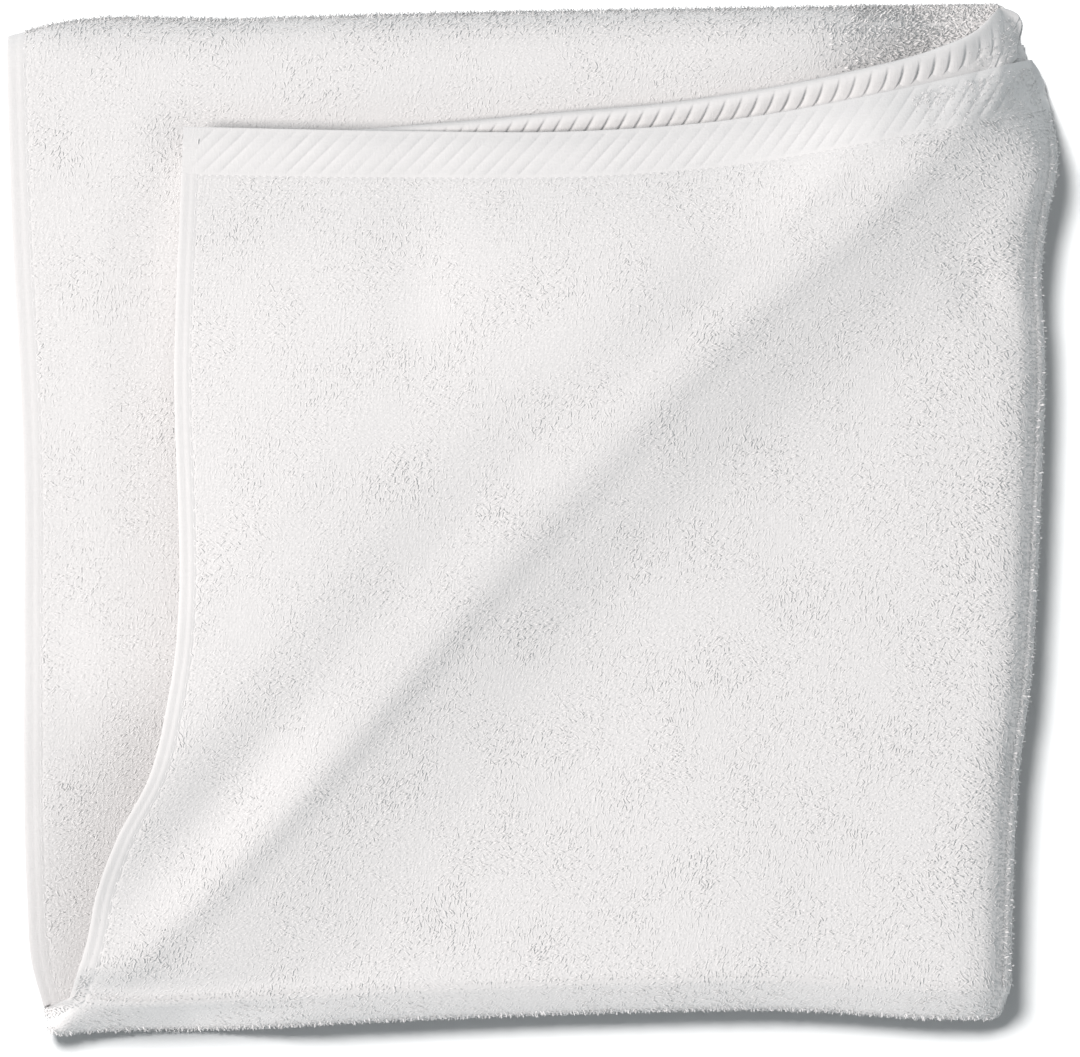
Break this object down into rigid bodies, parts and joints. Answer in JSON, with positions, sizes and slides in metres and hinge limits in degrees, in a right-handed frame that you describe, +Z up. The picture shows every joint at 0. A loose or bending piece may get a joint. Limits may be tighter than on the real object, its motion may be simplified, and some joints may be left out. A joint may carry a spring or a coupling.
{
  "type": "bath towel",
  "caption": "White cotton terry bath towel folded to a near square, with ribbed end bands and a soft diagonal fold.",
  "frame": {"origin": "bottom centre of the folded towel's box, on the surface that it lies on", "axes": "+Z up; +X towards the long soft fold at the side; +Y towards the edge where the end band shows"},
  "size_m": [0.363, 0.3556, 0.0356],
  "materials": {
    "terry": "matt looped cotton pile"
  },
  "bodies": {
    "root": {"towel": "terry"}
  },
  "joints": []
}
